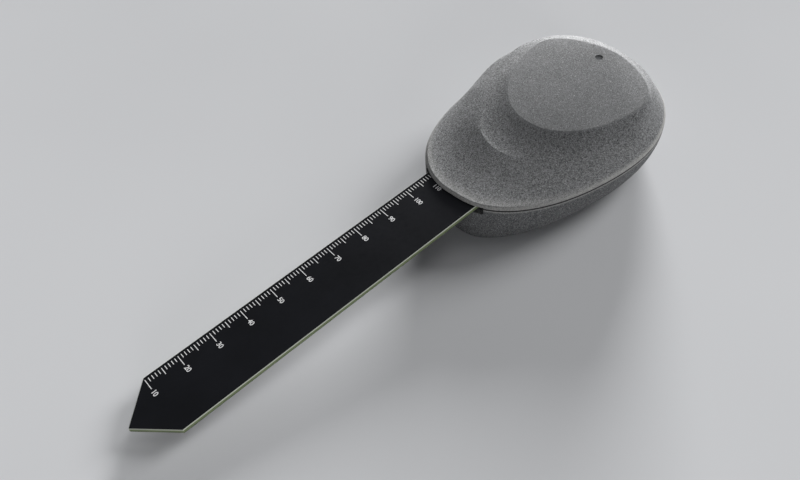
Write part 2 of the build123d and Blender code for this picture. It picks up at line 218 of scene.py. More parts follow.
# Screws, in millimetres: radius and length of head and shank, depth and pitch of the thread,
# and places behind the rim and across
CASE_SCREW = {"head": (2.4, 1.8), "shank": (1.2, 10.6), "thread": (0.2, 0.45)}
CASE_SCREW_PLACES = [(15.5, 13.9), (15.5, -13.9), (73.8, 0.0)]
CASE_SCREW_LEVEL = 0.6
HEX_KEY = 2.0
HEX_DEPTH = 1.1
BOARD_SCREW = {"head": (1.9, 1.2), "shank": (1.0, 4.6), "thread": (0.22, 0.7)}
BOARD_SCREW_PLACES = [(46.0, 15.3), (46.0, -15.3), (62.0, 15.3), (62.0, -15.3)]
BOARD_SCREW_LEVEL = -2.8
CROSS_ARM = (2.3, 0.5, 0.75)

# Details of all screws, in millimetres; the head's rounding is a share of its height, the angle in degrees
DRUM_SIDES = 40
HEAD_ROUNDING = 0.3
HEAD_STEPS = 4
HEAD_CHAMFER = 0.1
SHANK_OVERLAP = 0.1
TIP_CHAMFER = 0.35
BLANK_ROOM = 0.05
RIM_REACH = 0.01
CUT_TOLERANCE = 0.00001
SCREW_ANGLE = 30

# One turn of thread from root to root: steps outwards in depths and along in pitches
THREAD_PROFILE = ((0, 0.1), (1, 0.35), (0, 0.1), (-1, 0.35), (0, 0.1))
THREAD_STEPS = 20
SPARE_TURNS = 2


# Selecting, placing and shaping pieces

def pick(*pieces):
    """Select these pieces alone; the first one is active."""
    bpy.ops.object.select_all(action="DESELECT")
    for piece in pieces:
        piece.select_set(True)
    bpy.context.view_layer.objects.active = pieces[0]


def settle(piece, place=Matrix.Identity(4)):
    """Put the place of a piece into its mesh, so that its object sits at the origin."""
    piece.matrix_world = place @ piece.matrix_basis
    pick(piece)
    bpy.ops.object.transform_apply(location=True, rotation=True, scale=True)
    return piece


def name_piece(piece, name):
    """Name a piece and its mesh."""
    piece.name = name
    piece.data.name = name
    return piece


def join_copies(placed, name):
    """One piece from copies of patterns, each at its place; the patterns are used up."""
    copies = []
    for pattern, place in placed:
        copy = pattern.copy()
        copy.data = pattern.data.copy()
        bpy.context.collection.objects.link(copy)
        copies.append(settle(copy, place))
    for pattern in {pattern for pattern, place in placed}:
        bpy.data.objects.remove(pattern)
    pick(*copies)
    bpy.ops.object.join()
    return name_piece(copies[0], name)


def smooth(piece, angle):
    """Smooth shading that keeps edges sharper than an angle in degrees."""
    pick(piece)
    bpy.ops.object.shade_smooth_by_angle(angle=radians(angle))


def height_over(plane, point):
    """Height of a point over one of the cover's planes."""
    start, rise, lean = plane
    return point.z - SEAM_HEIGHT - start - rise * (point.x - RIM_FRONT) - lean * point.y


def choose(piece, kind, wanted):
    """Select in edit mode the vertices, edges or faces of a piece that meet a test."""
    pick(piece)
    bpy.ops.object.mode_set(mode="EDIT")
    bpy.ops.mesh.select_mode(type=kind)
    bpy.ops.mesh.select_all(action="DESELECT")
    bpy.ops.object.mode_set(mode="OBJECT")
    mesh = piece.data
    for element in {"VERT": mesh.vertices, "EDGE": mesh.edges, "FACE": mesh.polygons}[kind]:
        element.select = wanted(element)
    bpy.ops.object.mode_set(mode="EDIT")


def everything(element):
    """Test that any vertex, edge or face meets."""
    return True


def crease_crest(piece):
    """Keep the crest of the cover sharp, except on the left where it fades into the flank."""
    near = []
    for vertex in piece.data.vertices:
        on_crest = abs(height_over(CREST, vertex.co)) < CREST_REACH * MM
        near.append(on_crest and flank_share(vertex.co) < CREST_FLANK)
    choose(piece, "EDGE", lambda edge: all(near[index] for index in edge.vertices))
    bpy.ops.mesh.mark_sharp()
    bpy.ops.object.mode_set(mode="OBJECT")


def ramp(value, span):
    """Smooth rise from 0 to 1 over a span in millimetres."""
    start, end = (edge * MM for edge in span)
    share = min(max((value - start) / (end - start), 0.0), 1.0)
    return share * share * (3 - 2 * share)


def flank_share(point):
    """How far a point lies on the rounded left flank of the cover, from 0 to 1."""
    behind = ramp(point.x - RIM_FRONT, FLANK_BEHIND)
    left = ramp(point.y, FLANK_LEFT)
    over_lip = ramp(point.z - SEAM_HEIGHT, FLANK_OVER_LIP)
    below_plateau = ramp(-height_over(PLATEAU, point), FLANK_BELOW_PLATEAU)
    return behind * left * over_lip * below_plateau


def fullness(point):
    """How far the left flank swells at a point under the crest, from 0 to 1."""
    behind = point.x - RIM_FRONT
    along = ramp(behind, SWELL_STARTS) * (1 - ramp(behind, SWELL_ENDS))
    below_crest = ramp(-height_over(CREST, point), SWELL_BELOW_CREST)
    return along * below_crest * flank_share(point)


def weld(piece):
    """Merge the vertices of a piece that lie in the same place."""
    choose(piece, "VERT", everything)
    bpy.ops.mesh.remove_doubles(threshold=WELD * MM)
    bpy.ops.mesh.delete_loose()
    bpy.ops.object.mode_set(mode="OBJECT")


def thin_crowd(piece):
    """Draw the crowded triangles of the cover's ceiling together and close what is left open."""
    points = piece.data.vertices
    steps = {}
    for face in piece.data.polygons:
        corners = [points[index].co for index in face.vertices]
        if max((corners[turn] - corners[turn - 1]).length for turn in range(3)) > CROWD_EDGE * MM:
            continue
        for index, corner in zip(face.vertices, corners):
            depth = -height_over(PLATEAU, corner) / MM
            if corner.x > CEILING_REAR * MM and CEILING_DEPTH[0] < depth < CEILING_DEPTH[1]:
                step = floor(corner.y / (CROWD_STEP * MM))
                steps.setdefault(step, set()).add(index)
    for members in steps.values():
        middle = sum((points[index].co for index in members), Vector()) / len(members)
        for index in members:
            points[index].co = middle
    weld(piece)
    for turn in range(CLOSING_ROUNDS):
        choose(piece, "VERT", lambda vertex: False)
        bpy.ops.mesh.select_non_manifold()
        bpy.ops.mesh.remove_doubles(threshold=2 * CROWD_STEP * MM)
        bpy.ops.object.mode_set(mode="OBJECT")
        weld(piece)


def round_flank(piece):
    """Swell the left flank a little and melt its steps into one rounded surface."""
    def on_flank(face):
        return face.normal.dot(FLANK_OUTWARD) > FLANK_FACING and flank_share(face.center) > 0

    choose(piece, "FACE", on_flank)
    bpy.ops.mesh.subdivide(number_cuts=FLANK_CUTS)
    bpy.ops.mesh.quads_convert_to_tris()
    bpy.ops.mesh.beautify_fill(angle_limit=radians(FLANK_REDRAWN))
    bpy.ops.object.mode_set(mode="OBJECT")
    outer = {index for face in piece.data.polygons if face.select for index in face.vertices}
    for name, weight in (("swell", fullness), ("melt", flank_share)):
        group = piece.vertex_groups.new(name=name)
        for index in outer:
            group.add([index], weight(piece.data.vertices[index].co), "REPLACE")
    swelling = piece.modifiers.new("swelling", "DISPLACE")
    swelling.strength = SWELL_HEIGHT * MM
    swelling.mid_level = 0
    swelling.vertex_group = "swell"
    bpy.ops.object.modifier_apply(modifier=swelling.name)
    rounding = piece.modifiers.new("rounding", "SMOOTH")
    rounding.factor = MELTING_SHARE
    rounding.iterations = MELTING_ROUNDS
    rounding.vertex_group = "melt"
    bpy.ops.object.modifier_apply(modifier=rounding.name)
    piece.vertex_groups.clear()


def skin_of(node, name, angle):
    """New piece with a node's shape, its triangles merged and smoothly shaded."""
    source = frame["nodes"][node]
    piece = bpy.data.objects.new(name, source.data.copy())
    bpy.context.collection.objects.link(piece)
    name_piece(piece, name)
    pick(piece)
    bpy.ops.mesh.customdata_custom_splitnormals_clear()
    weld(piece)
    smooth(piece, angle)
    return piece


def dress(piece, *materials):
    """Give a piece its materials in place of any that it had."""
    piece.data.materials.clear()
    for material in materials:
        piece.data.materials.append(material)


def stand_for(piece, node):
    """Let a piece take a node's place and body, and hide the node."""
    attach(piece, frame["nodes"][node]["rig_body"])
    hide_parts(node)


# Materials

class Finish:
    """A node tree under construction: a material or a node group."""

    def __init__(self, tree):
        self.tree = tree

    def node(self, kind, **settings):
        """Add a node: its inputs are set or linked, all other settings are its properties."""
        node = self.tree.nodes.new(kind)
        inputs = settings.pop("inputs", {})
        for key, value in settings.items():
            setattr(node, key, value)
        for key, value in inputs.items():
            self.feed(node.inputs[key], value)
        return node

    def feed(self, socket, value):
        """Link an output to a socket, or set the socket's own value."""
        if isinstance(value, bpy.types.NodeSocket):
            self.tree.links.new(value, socket)
        else:
            socket.default_value = value

    def noise(self, vector, scale, detail, roughness):
        """Value of a noise pattern."""
        inputs = {"Vector": vector, "Scale": scale, "Detail": detail, "Roughness": roughness}
        return self.node("ShaderNodeTexNoise", inputs=inputs).outputs["Fac"]

    def spread(self, value, low, high, to_low=0.0, to_high=1.0):
        """Map a range of values to another, held at its ends."""
        inputs = {0: value, 1: low, 2: high, 3: to_low, 4: to_high}
        return self.node("ShaderNodeMapRange", inputs=inputs).outputs[0]

    def maths(self, operation, first, second=0.0):
        """Arithmetic on two values."""
        inputs = {0: first, 1: second}
        return self.node("ShaderNodeMath", operation=operation, inputs=inputs).outputs[0]

    def blend(self, share, first, second):
        """Mix of two colours."""
        node = self.node("ShaderNodeMix", data_type="RGBA")
        self.feed(node.inputs[0], share)
        self.feed(node.inputs[6], first)
        self.feed(node.inputs[7], second)
        return node.outputs[2]


def colour(red, green, blue):
    """Linear colour of a red, green and blue as they show on a screen, 0 to 255."""
    parts = []
    for part in (red, green, blue):
        share = part / 255
        parts.append(share / 12.92 if share <= 0.04045 else ((share + 0.055) / 1.055) ** 2.4)
    return (*parts, 1.0)


def new_group(name, inputs, outputs):
    """Empty node group with named sockets; returns it with its input and output nodes."""
    tree = bpy.data.node_groups.new(name, "ShaderNodeTree")
    for key, kind in inputs.items():
        tree.interface.new_socket(key, in_out="INPUT", socket_type=kind)
    for key, kind in outputs.items():
        tree.interface.new_socket(key, in_out="OUTPUT", socket_type=kind)
    finish = Finish(tree)
    return finish, finish.node("NodeGroupInput").outputs, finish.node("NodeGroupOutput").inputs


def make_grain_group():
    """Fine moulded grain: a mask of light and dark specks and a height."""
    sockets = {"Vector": "NodeSocketVector", "Scale": "NodeSocketFloat"}
    finish, given, result = new_group(
        "moulded_grain", sockets, {"Specks": "NodeSocketFloat", "Height": "NodeSocketFloat"})
    fine = finish.noise(given["Vector"], scale=given["Scale"], detail=3.0, roughness=0.65)
    coarse_scale = finish.maths("MULTIPLY", given["Scale"], 0.4)
    coarse = finish.noise(given["Vector"], scale=coarse_scale, detail=2.0, roughness=0.6)
    fine_part = finish.maths("MULTIPLY", fine, 0.75)
    both = finish.maths("ADD", fine_part, finish.maths("MULTIPLY", coarse, 0.25))
    finish.feed(result["Specks"], finish.spread(both, 0.38, 0.62))
    pits = finish.node("ShaderNodeTexVoronoi", inputs={"Vector": given["Vector"], "Scale": given["Scale"]})
    height = finish.maths("ADD", fine, finish.maths("MULTIPLY", pits.outputs["Distance"], 0.35))
    finish.feed(result["Height"], height)
    return finish.tree


def make_tone_group():
    """Slow change of tone over a surface, as from handling and moulding."""
    sockets = {"Vector": "NodeSocketVector", "Scale": "NodeSocketFloat"}
    finish, given, result = new_group("slow_tone", sockets, {"Tone": "NodeSocketFloat"})
    slow = finish.noise(given["Vector"], scale=given["Scale"], detail=3.0, roughness=0.55)
    finish.feed(result["Tone"], finish.spread(slow, 0.3, 0.7))
    return finish.tree


def make_board_group():
    """Place on the board: u behind the rim, v across, w above the face."""
    finish, given, result = new_group(
        "place_on_board", {"Vector": "NodeSocketVector"}, {"Place": "NodeSocketVector"})
    back = BOARD.inverted().translation
    mapping = finish.node("ShaderNodeMapping", inputs={
        "Vector": given["Vector"], "Location": back, "Rotation": (0, TILT, 0)})
    finish.feed(result["Place"], mapping.outputs["Vector"])
    return finish.tree


GRAIN = make_grain_group()
TONE = make_tone_group()
ON_BOARD = make_board_group()


def new_material(name, **constants):
    """Material with a Principled shader whose plain values are set on its own sockets."""
    material = bpy.data.materials.new(name)
    material.use_nodes = True
    finish = Finish(material.node_tree)
    shader = material.node_tree.nodes["Principled BSDF"]
    for key, value in constants.items():
        shader.inputs[key.replace("_", " ")].default_value = value
    place = finish.node("ShaderNodeTexCoord").outputs["Object"]
    return material, finish, shader.inputs, place


def use(finish, group, **inputs):
    """Place a node group in a material."""
    node = finish.node("ShaderNodeGroup", node_tree=group)
    for key, value in inputs.items():
        finish.feed(node.inputs[key], value)
    return node.outputs


def bump(finish, sockets, height, strength, depth):
    """Relief of a depth in millimetres on a shader's normal."""
    inputs = {"Height": height, "Strength": strength, "Distance": depth * MM}
    finish.feed(sockets["Normal"], finish.node("ShaderNodeBump", inputs=inputs).outputs["Normal"])


def grainy(name, dark, light, grain, rough, relief):
    """Moulded plastic, rubber or ceramic with a grain of so many specks a metre."""
    material, finish, sockets, place = new_material(name)
    specks = use(finish, GRAIN, Vector=place, Scale=grain)
    tone = use(finish, TONE, Vector=place, Scale=MOULDED_TONES)["Tone"]
    share = finish.blend(MOULDED_TONE_SHARE, specks["Specks"], tone)
    finish.feed(sockets["Base Color"], finish.blend(share, dark, light))
    finish.feed(sockets["Roughness"], finish.spread(specks["Specks"], 0.0, 1.0, rough[1], rough[0]))
    bump(finish, sockets, specks["Height"], strength=1.0, depth=relief)
    return material


def make_plane_group():
    """Height over a plane of the cover: start at the front rim, rise to the rear, lean to the left."""
    sockets = {"Vector": "NodeSocketVector", "Start": "NodeSocketFloat",
               "Rise": "NodeSocketFloat", "Lean": "NodeSocketFloat"}
    finish, given, result = new_group("height_over_plane", sockets, {"Height": "NodeSocketFloat"})
    split = finish.node("ShaderNodeSeparateXYZ", inputs={0: given["Vector"]}).outputs
    behind = finish.maths("SUBTRACT", split["X"], RIM_FRONT)
    level = finish.maths("ADD", given["Start"], finish.maths("MULTIPLY", given["Rise"], behind))
    level = finish.maths("ADD", level, finish.maths("MULTIPLY", given["Lean"], split["Y"]))
    over_seam = finish.maths("SUBTRACT", split["Z"], SEAM_HEIGHT)
    finish.feed(result["Height"], finish.maths("SUBTRACT", over_seam, level))
    return finish.tree


OVER_PLANE = make_plane_group()

# Colours of the housing's glints, of its painted highlights beside the seam and of the painted shade in the
# seam
GLINT = colour(204, 205, 205)
EDGE_HIGHLIGHT = colour(186, 185, 182)
SEAM_SHADE_COLOUR = colour(34, 34, 34)


def make_housing(name, dark, light, highlight_band):
    """Stone-grey moulded plastic: mottled, with light specks, calmer on the plateau.

    The rounded edge beside the seam carries a painted highlight, a paler band between two heights over
    the seam in millimetres, and painted shade darkens the seam itself.
    """
    material, finish, sockets, place = new_material(name, Specular_IOR_Level=0.35)
    specks = use(finish, GRAIN, Vector=place, Scale=HOUSING_GRAIN)
    tone = use(finish, TONE, Vector=place, Scale=HOUSING_TONES)["Tone"]
    start, rise, lean = PLATEAU
    over = use(finish, OVER_PLANE, Vector=place, Start=start, Rise=rise, Lean=lean)["Height"]
    calm = finish.spread(over, PLATEAU_FADE[0] * MM, PLATEAU_FADE[1] * MM, 0.0, PLATEAU_CALM)
    mottle = finish.blend(calm, specks["Specks"], PLATEAU_SPECKS)
    share = finish.blend(HOUSING_TONE_SHARE, mottle, tone)
    body = finish.blend(share, dark, light)
    glints = finish.noise(place, scale=HOUSING_GLINTS, detail=1.0, roughness=0.5)
    glint_share = finish.spread(glints, *GLINT_SPAN, 0.0, GLINT_STRENGTH)
    body = finish.blend(glint_share, body, GLINT)

    seam = use(finish, OVER_PLANE, Vector=place, Start=0.0, Rise=0.0, Lean=0.0)["Height"]
    # Painted highlight: a paler band on the rounded edge, between two heights over the seam
    low, high = highlight_band
    fade = EDGE_FADE * MM
    pale = finish.maths("MULTIPLY", finish.spread(seam, low * MM - fade, low * MM + fade),
                        finish.spread(seam, high * MM - fade, high * MM + fade, 1.0, 0.0))
    pale = finish.maths("MULTIPLY", pale, finish.spread(specks["Specks"], 0.0, 1.0, *EDGE_HIGHLIGHT_STRENGTH))
    body = finish.blend(pale, body, EDGE_HIGHLIGHT)
    # Painted shade: the seam darkened close to it, where the gap between the halves lies in shade
    from_seam = finish.maths("ABSOLUTE", seam)
    seam_shade = finish.spread(from_seam, SEAM_SHADE_SPAN[0] * MM, SEAM_SHADE_SPAN[1] * MM, SEAM_SHADE_STRENGTH, 0.0)
    finish.feed(sockets["Base Color"], finish.blend(seam_shade, body, SEAM_SHADE_COLOUR))
    finish.feed(sockets["Roughness"], finish.spread(specks["Specks"], 0.0, 1.0, *HOUSING_ROUGH))
    bump(finish, sockets, specks["Height"], strength=1.0, depth=HOUSING_RELIEF)
    return material


def metal(name, dark, light, rough, stretch):
    """Plated or bare metal with fine drawn lines; stretch squeezes the pattern along X, Y and Z."""
    material, finish, sockets, place = new_material(name, Metallic=1.0)
    drawn = finish.node("ShaderNodeMapping", inputs={"Vector": place, "Scale": stretch}).outputs["Vector"]
    lines = finish.noise(drawn, scale=METAL_LINES, detail=4.0, roughness=0.7)
    tone = use(finish, TONE, Vector=place, Scale=METAL_TONES)["Tone"]
    finish.feed(sockets["Base Color"], finish.blend(tone, dark, light))
    finish.feed(sockets["Roughness"], finish.spread(lines, 0.3, 0.7, *rough))
    bump(finish, sockets, lines, strength=0.4, depth=METAL_RELIEF)
    return material


def make_solder_mask(name, dark, light):
    """Satin lacquer over copper: nearly even, with a faint ripple."""
    material, finish, sockets, place = new_material(name, Specular_IOR_Level=0.06)
    specks = use(finish, GRAIN, Vector=place, Scale=LACQUER_GRAIN)
    tone = use(finish, TONE, Vector=place, Scale=LACQUER_TONES)["Tone"]
    finish.feed(sockets["Base Color"], finish.blend(tone, dark, light))
    finish.feed(sockets["Roughness"], finish.spread(specks["Specks"], 0.0, 1.0, *LACQUER_ROUGH))
    bump(finish, sockets, specks["Height"], strength=0.25, depth=LACQUER_RELIEF)
    return material


def make_board_edge():
    """Sawn edge of glass-fibre board: a pale line of painted highlight on top, olive layers, dark lacquer
    below.
    """
    material, finish, sockets, place = new_material("board_edge")
    on_board = use(finish, ON_BOARD, Vector=place)["Place"]
    layered = finish.node("ShaderNodeMapping", inputs={"Vector": on_board, "Scale": EDGE_SQUEEZE})
    layers = finish.noise(layered.outputs["Vector"], scale=EDGE_LAYERS, detail=2.0, roughness=0.5)
    fibres = finish.noise(on_board, scale=EDGE_FIBRES, detail=3.0, roughness=0.7)
    layer_part = finish.maths("MULTIPLY", layers, 0.6)
    share = finish.maths("ADD", layer_part, finish.maths("MULTIPLY", fibres, 0.4))
    share = finish.spread(share, 0.35, 0.65)
    olive = finish.blend(share, colour(92, 108, 72), colour(148, 160, 118))
    height = finish.node("ShaderNodeSeparateXYZ", inputs={0: on_board}).outputs["Z"]
    # Painted highlight: a near-white line along the top of the edge and over its chamfer
    pale = finish.spread(height, -HIGHLIGHT_LAYER * 1.2 * MM, -HIGHLIGHT_LAYER * 0.8 * MM, 0.0, 0.75)
    body = finish.blend(pale, olive, colour(228, 231, 220))
    dark = finish.spread(height, -DARK_LAYER * 1.04 * MM, -DARK_LAYER * 0.96 * MM, 0.92, 0.0)
    finish.feed(sockets["Base Color"], finish.blend(dark, body, colour(18, 19, 20)))
    finish.feed(sockets["Roughness"], finish.spread(fibres, 0.3, 0.7, 0.5, 0.75))
    bump(finish, sockets, share, strength=0.5, depth=EDGE_RELIEF)
    return material


def make_print():
    """White ink, a little uneven."""
    material, finish, sockets, place = new_material("scale_print")
    ink = finish.noise(place, scale=INK_GRAIN, detail=2.0, roughness=0.6)
    white = finish.blend(finish.spread(ink, 0.35, 0.65), colour(230, 231, 232), colour(248, 248, 247))
    finish.feed(sockets["Base Color"], white)
    finish.feed(sockets["Roughness"], finish.spread(ink, 0.3, 0.7, 0.5, 0.7))
    return material


def make_cell_sleeve():
    """Printed foil sleeve between two bare metal ends, by place along the board."""
    material, finish, sockets, place = new_material("cell_sleeve")
    on_board = use(finish, ON_BOARD, Vector=place)["Place"]
    along = finish.node("ShaderNodeSeparateXYZ", inputs={0: on_board}).outputs["X"]
    from_middle = finish.maths("ABSOLUTE", finish.maths("SUBTRACT", along, CELL_MIDDLE * MM))
    bare = finish.spread(from_middle, CELL_SLEEVE[0] * MM, CELL_SLEEVE[1] * MM)
    tone = use(finish, TONE, Vector=place, Scale=CELL_TONES)["Tone"]
    sleeve = finish.blend(tone, colour(40, 62, 58), colour(52, 76, 70))
    steel = finish.blend(tone, colour(176, 176, 174), colour(206, 206, 204))
    finish.feed(sockets["Base Color"], finish.blend(bare, sleeve, steel))
    finish.feed(sockets["Metallic"], finish.spread(bare, 0.0, 1.0, 0.35, 1.0))
    scuffs = finish.noise(place, scale=CELL_SCUFFS, detail=4.0, roughness=0.7)
    finish.feed(sockets["Roughness"], finish.spread(scuffs, 0.3, 0.7, 0.24, 0.42))
    return material


def make_clear_plastic():
    """Smoke-tinted rod with a faintly frosted surface."""
    material, finish, sockets, place = new_material("smoked_plastic", Transmission_Weight=0.2, IOR=1.49)
    frost = use(finish, GRAIN, Vector=place, Scale=PIPE_FROST)["Specks"]
    finish.feed(sockets["Base Color"], finish.blend(frost, colour(112, 114, 116), colour(132, 134, 136)))
    finish.feed(sockets["Roughness"], finish.spread(frost, 0.0, 1.0, 0.15, 0.3))
    return material


COVER = make_housing(
    "cover_stone_grey", colour(58, 59, 60), colour(157, 158, 159),
    highlight_band=(0.2, 1.25))
# The base is the same grey plastic as the cover, its colours made darker as painted shade on its walls
SHADED_BASE = make_housing(
    "base_stone_grey_shaded", colour(60, 61, 62), colour(130, 131, 132),
    highlight_band=(-0.75, -0.3))
SOLDER_MASK = make_solder_mask("solder_mask_black", colour(19, 20, 23), colour(25, 26, 30))
BOARD_EDGE = make_board_edge()
PRINT = make_print()
RUBBER = grainy(
    "seal_rubber", colour(18, 18, 18), colour(34, 34, 34),
    grain=2200.0, rough=(0.75, 0.95), relief=0.02)
STEEL = metal(
    "screw_steel", colour(150, 150, 152), colour(186, 186, 188),
    rough=(0.25, 0.45), stretch=(1, 1, 0.1))
BRASS = metal(
    "insert_brass", colour(186, 150, 84), colour(214, 180, 110),
    rough=(0.25, 0.45), stretch=(1, 1, 0.2))
SPRING = metal(
    "contact_nickel", colour(172, 170, 164), colour(208, 206, 200),
    rough=(0.2, 0.4), stretch=(1, 0.1, 1))
TIN = metal(
    "tinned_sheet", colour(160, 161, 162), colour(196, 197, 198),
    rough=(0.28, 0.48), stretch=(0.1, 1, 1))
HOLDER = grainy(
    "holder_plastic", colour(30, 30, 31), colour(46, 46, 47),
    grain=1800.0, rough=(0.55, 0.75), relief=0.03)
SWITCH = grainy(
    "switch_plastic", colour(36, 36, 37), colour(52, 52, 53),
    grain=2400.0, rough=(0.4, 0.6), relief=0.015)
CHIP = grainy(
    "chip_resin", colour(22, 22, 23), colour(38, 38, 39),
    grain=4000.0, rough=(0.6, 0.8), relief=0.012)
CERAMIC = grainy(
    "antenna_ceramic", colour(196, 195, 188), colour(222, 221, 214),
    grain=3000.0, rough=(0.45, 0.65), relief=0.01)
CAPACITOR = grainy(
    "capacitor_resin", colour(168, 122, 40), colour(196, 148, 60),
    grain=3000.0, rough=(0.4, 0.6), relief=0.01)
LAMP = grainy(
    "lamp_lens", colour(214, 216, 208), colour(236, 238, 230),
    grain=3000.0, rough=(0.25, 0.45), relief=0.006)
CELL = make_cell_sleeve()
CLEAR = make_clear_plastic()


# Housing and board

def make_cover():
    """The cover, its left flank rounded and its crest sharp."""
    cover = skin_of("top_cover", "cover_shell", HOUSING_ANGLE)
    thin_crowd(cover)
    round_flank(cover)
    smooth(cover, HOUSING_ANGLE)
    crease_crest(cover)
    dress(cover, COVER)
    return cover


def make_base():
    """The lower half of the housing."""
    base = skin_of("base_shell", "base_bowl", HOUSING_ANGLE)
    dress(base, SHADED_BASE)
    return base


def make_board():
    """The board with chamfered edges: lacquer on its faces, bare layers on its edges."""
    board = skin_of("sensor_board", "blade_board", BOARD_ANGLE)
    choose(board, "VERT", everything)
    bpy.ops.mesh.dissolve_limited(angle_limit=radians(BOARD_FLAT))
    bpy.ops.mesh.select_mode(type="EDGE")
    bpy.ops.mesh.select_all(action="DESELECT")
    bpy.ops.mesh.edges_select_sharp(sharpness=radians(BOARD_CORNER))
    bpy.ops.mesh.bevel(offset=EDGE_CHAMFER * MM, segments=1, affect="EDGES")
    bpy.ops.object.mode_set(mode="OBJECT")
    smooth(board, BOARD_ANGLE)
    dress(board, SOLDER_MASK, BOARD_EDGE)
    for face in board.data.polygons:
        flat = abs(face.normal.dot(BOARD_NORMAL)) > FACE_SHARE
        face.material_index = 0 if flat else 1
    return board


stand_for(make_cover(), "top_cover")
stand_for(make_base(), "base_shell")
stand_for(make_board(), "sensor_board")


# Printed scale

def make_tick(inner, name):
    """One printed line with slightly rounded ends, from the outer line of the scale inwards."""
    bpy.ops.object.select_all(action="DESELECT")
    bpy.ops.mesh.primitive_cube_add(size=1)
    tick = name_piece(bpy.context.object, name)
    tick.scale = (TICK_WIDTH * MM, (TICK_OUTER - inner) * MM, INK * MM)
    tick.location = (0, (TICK_OUTER + inner) / 2 * MM, INK / 2 * MM)
    settle(tick)
    heights = [corner.co.z for corner in tick.data.vertices]

    def upright(edge):
        return abs(heights[edge.vertices[0]] - heights[edge.vertices[1]]) > INK / 2 * MM

    choose(tick, "EDGE", upright)
    bpy.ops.mesh.bevel(offset=TICK_WIDTH * TICK_ROUNDING * MM, segments=2, affect="EDGES")
    bpy.ops.object.mode_set(mode="OBJECT")
    return tick


def make_ticks():
    """All lines of the scale as one piece: every 10 long, every 5 shorter, the others short."""
    patterns = {kind: make_tick(inner, f"tick_{kind}") for kind, inner in TICK_INNER.items()}
    placed = []
    for mark in range(FIRST_NUMBER, LAST_NUMBER + 1):
        kind = max(kind for kind in patterns if mark % kind == 0)
        placed.append((patterns[kind], BOARD @ Matrix.Translation(((SCALE_ZERO + mark) * MM, 0, 0))))
    return join_copies(placed, "scale_ticks")


def make_numbers():
    """Numbers at every ten, read across the blade, their tops towards the head."""
    numbers = []
    for mark in range(FIRST_NUMBER, LAST_NUMBER + 1, 10):
        bpy.ops.object.select_all(action="DESELECT")
        bpy.ops.object.text_add()
        number = bpy.context.object
        number.data.body = str(mark)
        number.data.size = DIGIT_HEIGHT / DIGIT_SHARE * MM
        number.data.extrude = INK / 2 * MM
        number.data.offset = DIGIT_WEIGHT * MM
        number.data.resolution_u = DIGIT_STEPS
        number.data.align_y = "CENTER"
        number.data.space_character = DIGIT_SPACING
        bpy.ops.object.convert(target="MESH")
        number = bpy.context.object
        along = SCALE_ZERO + mark + (LAST_NUMBER_SHIFT if mark == LAST_NUMBER else 0)
        place = BOARD @ Matrix.Translation((along * MM, DIGIT_START * MM, INK / 2 * MM))
        numbers.append(settle(number, place @ Matrix.Rotation(radians(-90), 4, "Z")))
    pick(*numbers)
    bpy.ops.object.join()
    weld(numbers[0])
    return name_piece(numbers[0], "scale_numbers")


for piece in (make_ticks(), make_numbers()):
    dress(piece, PRINT)
    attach(piece, "cover_assembly")


# Screws, each modelled from its driven end upwards

def combine(piece, other, operation):
    """Join, cut or trim a piece with another one, which is used up."""
    pick(piece)
    step = piece.modifiers.new("combine", "BOOLEAN")
    step.operation = operation
    step.solver = "EXACT"
    step.object = other
    bpy.ops.object.modifier_apply(modifier=step.name)
    bpy.data.objects.remove(other)


def make_drum(radius, low, high, sides=DRUM_SIDES):
    """Upright cylinder between two heights, in millimetres."""
    bpy.ops.object.select_all(action="DESELECT")
    height = (high - low) * MM
    middle = (0, 0, (high + low) / 2 * MM)
    bpy.ops.mesh.primitive_cylinder_add(vertices=sides, radius=radius * MM, depth=height, location=middle)
    return settle(bpy.context.object)


def round_rim(drum, height, size, steps):
    """Bevel the rim of a drum at a height, in millimetres."""
    on_rim = [abs(corner.co.z - height * MM) < RIM_REACH * MM for corner in drum.data.vertices]
    choose(drum, "EDGE", lambda edge: all(on_rim[index] for index in edge.vertices))
    bpy.ops.mesh.bevel(offset=size * MM, segments=steps, affect="EDGES")
    bpy.ops.object.mode_set(mode="OBJECT")


def make_thread(radius, low, high, depth, pitch):
    """Threaded rod between two heights, with flat ends and a chamfered tip."""
    bpy.ops.object.select_all(action="DESELECT")
    bpy.ops.mesh.primitive_plane_add(size=radius * MM)
    rod = bpy.context.object
    choose(rod, "VERT", everything)
    bpy.ops.mesh.merge(type="CENTER")
    bpy.ops.transform.translate(value=((radius - depth) * MM, 0, (low - SPARE_TURNS * pitch) * MM))
    for across, along in THREAD_PROFILE:
        move = (across * depth * MM, 0, along * pitch * MM)
        bpy.ops.mesh.extrude_vertices_move(TRANSFORM_OT_translate={"value": move})
    bpy.ops.object.mode_set(mode="OBJECT")
    winding = rod.modifiers.new("winding", "SCREW")
    winding.screw_offset = pitch * MM
    winding.iterations = round((high - low) / pitch) + 2 * SPARE_TURNS
    winding.steps = THREAD_STEPS
    winding.render_steps = THREAD_STEPS
    bpy.ops.object.modifier_apply(modifier=winding.name)
    weld(rod)
    for level in (low, high):
        choose(rod, "VERT", everything)
        bpy.ops.mesh.bisect(
            plane_co=(0, 0, level * MM), plane_no=(0, 0, 1), use_fill=True,
            clear_inner=level == low, clear_outer=level == high, threshold=CUT_TOLERANCE * MM)
        bpy.ops.object.mode_set(mode="OBJECT")
    choose(rod, "VERT", everything)
    bpy.ops.mesh.normals_make_consistent(inside=False)
    bpy.ops.object.mode_set(mode="OBJECT")
    blank = make_drum(radius + BLANK_ROOM, low - pitch, high)
    round_rim(blank, high, TIP_CHAMFER, steps=1)
    combine(rod, blank, "INTERSECT")
    return rod


